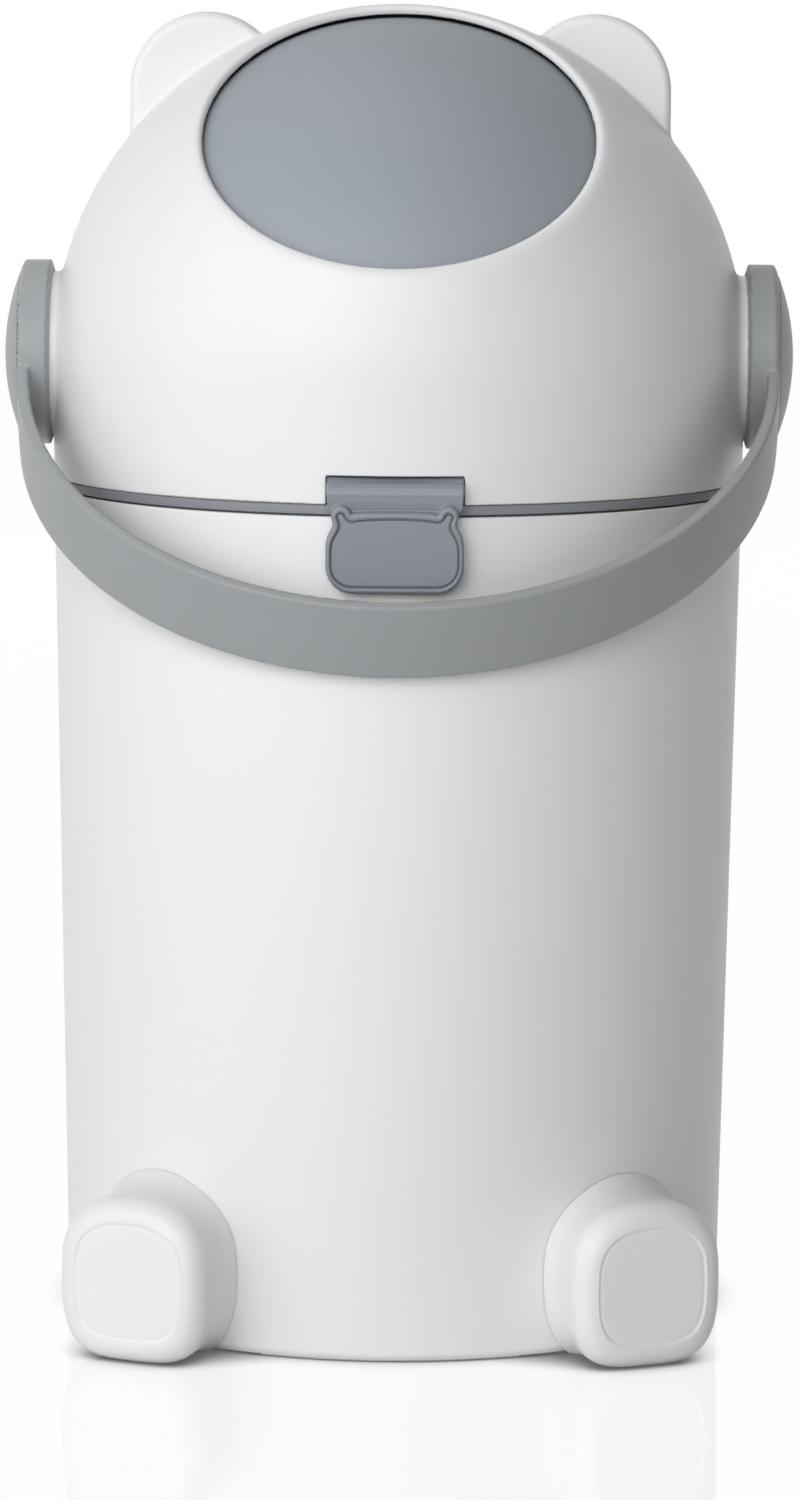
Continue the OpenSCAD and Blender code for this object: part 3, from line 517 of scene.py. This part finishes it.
COVER_ROWS = 24
cover = [(0.0001, COVER_TOP)]
for i in range(1, COVER_ROWS + 1):
    g = math.asin(COVER_R / COVER_BALL) * i / COVER_ROWS
    rim = 0.25 if i == COVER_ROWS else 0
    cover.append((COVER_BALL * math.sin(g), COVER_TOP - COVER_BALL + COVER_BALL * math.cos(g), rim))
cover += [(COVER_R, COVER_BACK), (COVER_LIP_OUT, COVER_BACK), (COVER_LIP_OUT, COVER_LIP),
          (COVER_LIP_IN, COVER_LIP), (COVER_LIP_IN, COVER_BACK), (0.0001, COVER_BACK)]
for name, to, old in (("hub_cover_right", ALONG_X, "right_hub_cap"),
                      ("hub_cover_left", ALONG_MINUS_X, "left_hub_cap")):
    place(lathe(name, cover, SMALL_STEPS, to), "drum", GREY, "grey_trim", old)


# ---------------------------------------------------------------- the bucket
bottom_r = float(body_r(EDGE_H)) - EDGE_H * 0.55
wall_profile = [
    (float(body_r(BODY_TOP)) - WALL, BODY_TOP, 0.9), (float(body_r(BODY_TOP)), BODY_TOP, 0.9),
    (float(body_r(EDGE_H)), EDGE_H, 3.5), (bottom_r, EDGE_UNDER, 0.6),
    (bottom_r - WALL, EDGE_UNDER, 0.4), (bottom_r - WALL, FLOOR_UNDER, 0.5), (0.001, FLOOR_UNDER),
    (0.001, FLOOR_TOP), (float(body_r(FLOOR_TOP)) - WALL, FLOOR_TOP, 3.0)]
bucket = lathe("bucket", wall_profile, BIG_STEPS)
place(bucket, "bin", WHITE, "white_shell", "body_shell")
foot_in, foot_out = bottom_r - WALL - 2, bottom_r - 1.7
foot_profile = [(foot_in, 0.0, 0.3), (foot_out, 0.0, 0.3), (foot_out, FOOT_H), (foot_in, FOOT_H)]
for name, mid, half in (("foot_front", 270, 23), ("foot_rear", 90, 60)):
    foot = lathe(name, foot_profile, 90, arc=(mid - half, mid + half))
    place(foot, "bin", WHITE, "white_shell")


def bracket_field(x, y, z):
    ax = np.abs(x)
    wall = away(x, y) - body_r(z)
    dy, dz = y - HINGE_Y, z - HINGE_Z
    knuckle = rod(ax, dy, dz, BRACKET_X0, BRACKET_X1, KNUCKLE_R, 0.7)
    middle, half = (BRACKET_X0 + BRACKET_X1) / 2, (BRACKET_X1 - BRACKET_X0) / 2
    web = smax(hinge_web(dy, dz), np.abs(ax - middle) - half, 1.0)
    arm = smin(knuckle, web, 0.6)
    root = np.maximum(smin(arm, wall, 5), arm - 4.5)
    root = np.maximum(root, z - BODY_TOP + 0.4)
    out = np.maximum(np.minimum(arm, root), -(wall + 1.5))
    return np.maximum(out, HINGE_BORE_R - away(dy, dz))


brackets = surface("hinge_brackets", bracket_field, (-53, 134, 314), (53, 160, 356), step=0.9)
place(brackets, "bin", WHITE, "white_shell")


def catch_field(x, y, z):
    ledge = block(x, y, z, 0, -144.0, CATCH_Z, 9, 1.9, 2, 0.6)
    root = np.maximum(away(x, y) - body_r(z), np.abs(z - CATCH_Z) - 3.4) + 0.4
    return smin(ledge, root, 1.5) + 0 * x


keeper = surface("catch", catch_field, (-11, -147, 330), (11, -140, 341), step=0.5)
place(keeper, "bin", WHITE, "white_shell")

# ---------------------------------------------------------------- the bag ring
skirt = float(body_r(BODY_TOP)) - WALL - 1.3
ring_profile = [
    (RING_IN, RING_Z1, 0.5), (RING_IN, RING_Z0, 0.4), (skirt - 2.0, RING_Z0, 0.3),
    (skirt - 2.0, SKIRT_Z, 0.8), (skirt, SKIRT_Z, 0.8), (skirt, RING_Z0, 0.3),
    (RING_R, RING_Z0, 0.35), (RING_R, RING_Z1 - 0.8, 0.3), (RING_R - 0.6, RING_Z1, 0.3)]
ring = lathe("bag_clamp_ring", ring_profile, BIG_STEPS)
# The ring keeps the grey trim slot but takes the darker grey, its painted shade.
place(ring, "ring", RING_GREY_PAINTED_SHADE, "grey_trim", "bag_ring")


def ring_ears_field(x, y, z):
    ax = np.abs(x)
    arm = smin(rod(ax, y - HINGE_Y, z - HINGE_Z, 14.4, 27.6, KNUCKLE_R, 0.7),
               block(ax, y, z, 21.0, 146.5, HINGE_Z, 6.6, 6.6, 2.05, 0.5), 2.0)
    return np.maximum(arm, -(away(y - HINGE_Y, z - HINGE_Z) - HINGE_BORE_R))


ring_ears = surface("ring_hinge", ring_ears_field, (-29, 138, 343), (29, 159.5, 355.5), step=0.6)
# The hinge ears take the same darker grey, painted shade.
place(ring_ears, "ring", RING_GREY_PAINTED_SHADE, "grey_trim")


# ---------------------------------------------------------------- the latch
def head_outline(ax, z, side, low, high, up_r, low_r, ear, k):
    """Roughly the distance to the outline of the latch's face: a rounded block with two ears."""
    top = corner_of(ax - (side - up_r), z - (high - up_r)) - up_r
    bottom = corner_of(ax - (side - low_r), (low + low_r) - z) - low_r
    (x0, z0), (x1, z1), r = ear
    long2 = (x1 - x0) ** 2 + (z1 - z0) ** 2
    t = np.clip(((ax - x0) * (x1 - x0) + (z - z0) * (z1 - z0)) / long2, 0, 1)
    horn = away(ax - x0 - t * (x1 - x0), z - z0 - t * (z1 - z0)) - r
    return smin(np.maximum(top, bottom), horn, k)


def latch_field(x, y, z):
    ax = np.abs(x)
    arch = 0.9 * np.clip(1 - (x / 17) ** 2, 0, 1) * np.clip((z - 330) / 10, 0, 1)
    edge = head_outline(ax, z - 0.5 * arch, 27.7, 316.3, 348.9, 14.0, 11.0,
                        ((20.6, 344.0), (21.5, 347.8), 4.1), 1.2)
    panel = head_outline(ax, z - arch, 25.5, 319.1, 345.3, 12.0, 8.5,
                         ((19.8, 343.4), (21.6, 347.1), 1.45), 3.4)
    t = np.clip(panel / np.maximum(panel - edge, 0.3), 0, 1)
    ridge = 0.75 * np.sin(math.pi * np.clip(t * 0.94 + 0.06, 0, 1))
    groove = 1.0 * np.exp(-((panel - 0.05) / 0.32) ** 2)
    crown = 0.5 * np.clip((x / 27.7) ** 2, 0, 1)
    front = -149.85 + crown - ridge + groove
    tab = smax(smax(edge, (front - y) * 0.9, 1.2), y + 146.0, 0.6)
    tab = smax(tab, -block(x, y, z, 0, -145.2, 330.6, 20, 2.0, 9.0, 1.0), 0.5)
    u = np.clip((363.5 - z) / 13, 0, 1.4)
    ribs = 0.05 * np.sin((z - 344) * 2 * math.pi / 2.8)
    out_y = -146.3 - 2.1 * np.sin(math.pi * 0.8 * np.minimum(u, 1.05)) - ribs
    half = 27.35 - 0.02 * u - 0.9 * np.clip(u - 0.45, 0, 1) ** 2 - 9 * np.clip(u - 1.0, 0, 1)
    plate = smax(smax(out_y - y, y - out_y - 3.0, 0.8), ax - half, 0.6)
    plate = smax(smax(plate, z - 362.6, 0.6), 345.5 - z, 0.8)
    plate = smax(plate, 0.906 * (z - LATCH_Z) - 0.423 * (y - LATCH_Y) - 5.8, 1.5)
    cam = away(y - LATCH_Y, z - LATCH_Z) - 5.65
    plate = smin(plate, smax(np.maximum(cam, y - LATCH_Y), ax - LATCH_HALF, 0.4), 0.6)
    barrel = rod(x, y - LATCH_Y, z - LATCH_Z, -LATCH_HALF, LATCH_HALF, 2.85, 0.4)
    web = block(x, y, z, 0, -142.5, 357.5, LATCH_HALF, 2.6, 2.2, 0.8)
    out = smin(tab, plate, 0.9)
    out = smin(out, smin(barrel, web, 1.0), 1.0)
    out = smin(out, block(x, y, z, 0, -147.2, 331.8, 10, 1.3, 1.75, 0.5), 0.6)
    return np.maximum(out, LATCH_BORE_R - away(y - LATCH_Y, z - LATCH_Z))


latch = surface("latch_clip", latch_field, (-30, -153, 314.6), (30, -134, 366), step=0.42,
                zones=((), ((-152, -147, 0.3),), ()))
place(latch, "latch", LATCH, "latch_grey", "latch_tab")


# ---------------------------------------------------------------- the paws
def paw(name, mirror, stands_for):
    """One paw, as rings that run from the middle of its face to its root on the wall."""
    az, sp = math.radians(PAW_AZ), math.radians(PAW_SPLAY)
    rr = float(body_r(PAW_H / 2))
    root = np.array([rr * math.sin(az), -rr * math.cos(az)])
    fore, across = np.array([math.sin(sp), -math.cos(sp)]), np.array([math.cos(sp), math.sin(sp)])
    steps = 144
    t = 2 * np.pi * np.arange(steps) / steps

    def ring(a, b, p):
        c, s = np.cos(t), np.sin(t)
        p = p - 0.5 * s
        return np.stack([a * np.sign(c) * np.abs(c) ** (2 / p),
                         b * np.sign(s) * np.abs(s) ** (2 / p)], 1)

    def at_wall(hv, off):
        """How far along the paw's axis a point of its section lies, off millimetres from the wall."""
        z = np.maximum(hv[:, 1] + PAW_H / 2, 0)
        c = root + hv[:, :1] * across
        b = c @ fore
        return np.sqrt(b * b - (c * c).sum(1) + (body_r(z) + off) ** 2) - b

    rings = []
    panel = ring(23.3, 23.4, 3.1) + (0, 0.2)
    for k, drop in ((0.35, 0.3), (0.7, 0.3), (0.92, 0.3), (0.965, 0.32), (0.985, 0.42),
                    (1.0, 0.5), (1.014, 0.4), (1.03, 0.12), (1.055, 0.0)):
        rings.append((panel * k, PAW_LEN - drop))
    edge, deep = 9.0, 9.5
    for i in range(13):
        g = math.pi / 2 * i / 12
        inset = edge * (1 - math.sin(g))
        hv = ring(PAW_W / 2 - inset, PAW_H / 2 - inset, 2.75 + 0.25 * i / 12)
        hv = np.where(i == 0, np.maximum(np.abs(hv), np.abs(panel) * 1.06) * np.sign(hv), hv)
        rings.append((hv + (0.6 * i / 12, 0), PAW_LEN - deep * (1 - math.cos(g))))
    start = PAW_LEN - deep
    for i in range(1, 25):
        u = i / 24
        flare = 4.4 * max(0, (u - 0.3) / 0.7) ** 2.2
        waist = 0.4 * math.sin(math.pi * min(1, u * 1.2))
        hv = ring(PAW_W / 2 - waist + 1.1 * flare, PAW_H / 2 + flare, 3.0 - 0.55 * u)
        hv = hv + (0.6 + 5.2 * u * u, 0)
        low = at_wall(hv, 0.7)
        rings.append((hv, start + (low - start) * (0.75 * u + 0.25 * math.sin(math.pi / 2 * u))))
    hv = rings[-1][0]
    for k, off in ((0.998, 0.4), (0.96, 0.35), (0.95, 0.06)):
        rings.append((hv * k, at_wall(hv * k, off)))
    for k in (0.8, 0.5, 0.2):
        rings.append((hv * k, at_wall(hv * k, 0.06)))
    pts = []
    for hv, d in rings:
        xy = root + hv[:, :1] * across + (np.zeros(steps) + d)[:, None] * fore
        pts.append(np.stack([xy[:, 0] * mirror, xy[:, 1], np.maximum(hv[:, 1] + PAW_H / 2, 0)], 1))
    n = len(pts) * steps
    faces = []
    for k in range(len(pts) - 1):
        for i in range(steps):
            j = (i + 1) % steps
            faces.append((k * steps + i, (k + 1) * steps + i, (k + 1) * steps + j, k * steps + j))
    front, back = pts[0].mean(0), pts[-1].mean(0)
    faces += [(n, i, (i + 1) % steps) for i in range(steps)]
    faces += [(n + 1, n - steps + (i + 1) % steps, n - steps + i) for i in range(steps)]
    obj = build(name, np.concatenate(pts + [front[None], back[None]]), faces)
    clean(obj, angle=50)
    place(obj, "bin", WHITE, "white_shell", stands_for)


paw("paw_right", 1, "right_paw")
paw("paw_left", -1, "left_paw")

# ---------------------------------------------------------------- camera, floor and light
# Lengths in millimetres, angles in radians; focal and shift in pixels of a frame IMAGE_H high.
dist, height, focal, shift = 2625.525, 583.905, 6235.76, 4.186
pitch, roll, yaw = 0.132580, 0.006972, 0.007989
IMAGE_H, SENSOR = 1500, 36
place_at = Vector((dist * math.sin(yaw), -dist * math.cos(yaw), height)) / 1000
ahead = Vector((-math.sin(yaw) * math.cos(pitch), math.cos(yaw) * math.cos(pitch),
                -math.sin(pitch)))
right = Vector((math.cos(yaw), math.sin(yaw), 0))
above = right.cross(ahead)
turned_right = right * math.cos(roll) + above * math.sin(roll)
turned_above = above * math.cos(roll) - right * math.sin(roll)
data = bpy.data.cameras.new("camera")
data.sensor_fit = "AUTO"
data.sensor_width = SENSOR
data.lens = focal * SENSOR / IMAGE_H
data.shift_x = shift / IMAGE_H
data.clip_end = 50
camera = bpy.data.objects.new("camera", data)
camera.matrix_world = Matrix(((turned_right.x, turned_above.x, -ahead.x, place_at.x),
                              (turned_right.y, turned_above.y, -ahead.y, place_at.y),
                              (turned_right.z, turned_above.z, -ahead.z, place_at.z),
                              (0, 0, 0, 1)))
bpy.context.scene.collection.objects.link(camera)
bpy.context.scene.camera = camera


def is_seen(tree):
    """1 for camera, glossy and transmission rays."""
    path = shader(tree, "LightPath")
    seen = path.outputs["Is Camera Ray"]
    for ray in ("Is Glossy Ray", "Is Transmission Ray"):
        either = shader(tree, "Math")
        either.operation = "MAXIMUM"
        tree.links.new(seen, either.inputs[0])
        tree.links.new(path.outputs[ray], either.inputs[1])
        seen = either.outputs[0]
    return seen


def mixed(tree, a, b, **values):
    """A mix of the shaders of the nodes a and b."""
    mix = shader(tree, "MixShader", **values)
    tree.links.new(a.outputs[0], mix.inputs[1])
    tree.links.new(b.outputs[0], mix.inputs[2])
    return mix


# The surroundings look white and light the object more from the left.
world = bpy.data.worlds.new("studio")
bpy.context.scene.world = world
world.use_nodes = True
tree = world.node_tree
link = tree.links.new
back = tree.nodes["Background"]
back.inputs["Color"].default_value = (1, 1, 1, 1)
split = shader(tree, "SeparateXYZ")
side = shader(tree, "MapRange", From_Min=-1, To_Min=0.31, To_Max=0.015)
link(shader(tree, "TexCoord").outputs["Generated"], split.inputs["Vector"])
link(split.outputs["X"], side.inputs["Value"])
link(side.outputs["Result"], back.inputs["Strength"])
plain = shader(tree, "Background", Color=(1, 1, 1, 1), Strength=1.0)
studio = mixed(tree, back, plain)
link(is_seen(tree), studio.inputs["Fac"])
link(studio.outputs[0], tree.nodes["World Output"].inputs["Surface"])

# The floor glows white to the camera and is darker where the object stands, a painted shadow from
# ambient occlusion, with a faint reflection.
FLOOR_HALF = 6
floor_mesh = bpy.data.meshes.new("floor")
floor_mesh.from_pydata([(x * FLOOR_HALF, y * FLOOR_HALF, 0)
                        for x, y in ((-1, -1), (1, -1), (1, 1), (-1, 1))], [], [(0, 1, 2, 3)])
floor = bpy.data.objects.new("floor", floor_mesh)
bpy.context.scene.collection.objects.link(floor)
fm = bpy.data.materials.new("floor")
fm.use_nodes = True
tree = fm.node_tree
link = tree.links.new
bsdf = tree.nodes["Principled BSDF"]
bsdf.inputs["Base Color"].default_value = (0.76, 0.76, 0.76, 1)
bsdf.inputs["Roughness"].default_value = 0.5
# Painted contact shadow: ambient occlusion dims the floor's glow near the object.
near = shader(tree, "AmbientOcclusion", Distance=0.03)
shade = shader(tree, "MapRange", From_Min=0.12, From_Max=0.74, To_Min=0.12, To_Max=1.0)
shade.interpolation_type = "SMOOTHSTEP"
link(near.outputs["AO"], shade.inputs["Value"])
painted_shadow_glow = shader(tree, "Emission")
link(shade.outputs["Result"], painted_shadow_glow.inputs["Strength"])
gloss = shader(tree, "BsdfGlossy", Roughness=0.04, Color=(1, 1, 1, 1))
share = shader(tree, "Math")
share.operation = "MULTIPLY"
share.inputs[1].default_value = 0.98
link(is_seen(tree), share.inputs[0])
look = mixed(tree, bsdf, mixed(tree, painted_shadow_glow, gloss, Fac=0.16))
link(share.outputs[0], look.inputs["Fac"])
link(look.outputs[0], tree.nodes["Material Output"].inputs["Surface"])
floor_mesh.materials.append(fm)

AIM = Vector((0, 0, 0.3))


def lamp(name, at, wide, high, power):
    """A rectangular lamp, in metres and watts, that faces AIM."""
    light = bpy.data.lights.new(name, "AREA")
    light.shape = "RECTANGLE"
    light.size, light.size_y, light.energy = wide, high, power
    holder = bpy.data.objects.new(name, light)
    bpy.context.scene.collection.objects.link(holder)
    holder.location = at
    holder.rotation_euler = (AIM - Vector(at)).to_track_quat("-Z", "Y").to_euler()
    return holder


lamp("key", (-2.2, -2.1, 1.6), 4.2, 3.0, 55)
lamp("fill", (-0.5, -3.2, 1.55), 3.4, 2.0, 49)
lamp("top", (-0.3, 0.2, 2.2), 1.2, 1.2, 4)
rear = lamp("rear", (-0.5, 3.2, 1.0), 1.6, 1.4, 30)  # unseen by camera and reflections
rear.visible_camera = rear.visible_glossy = False
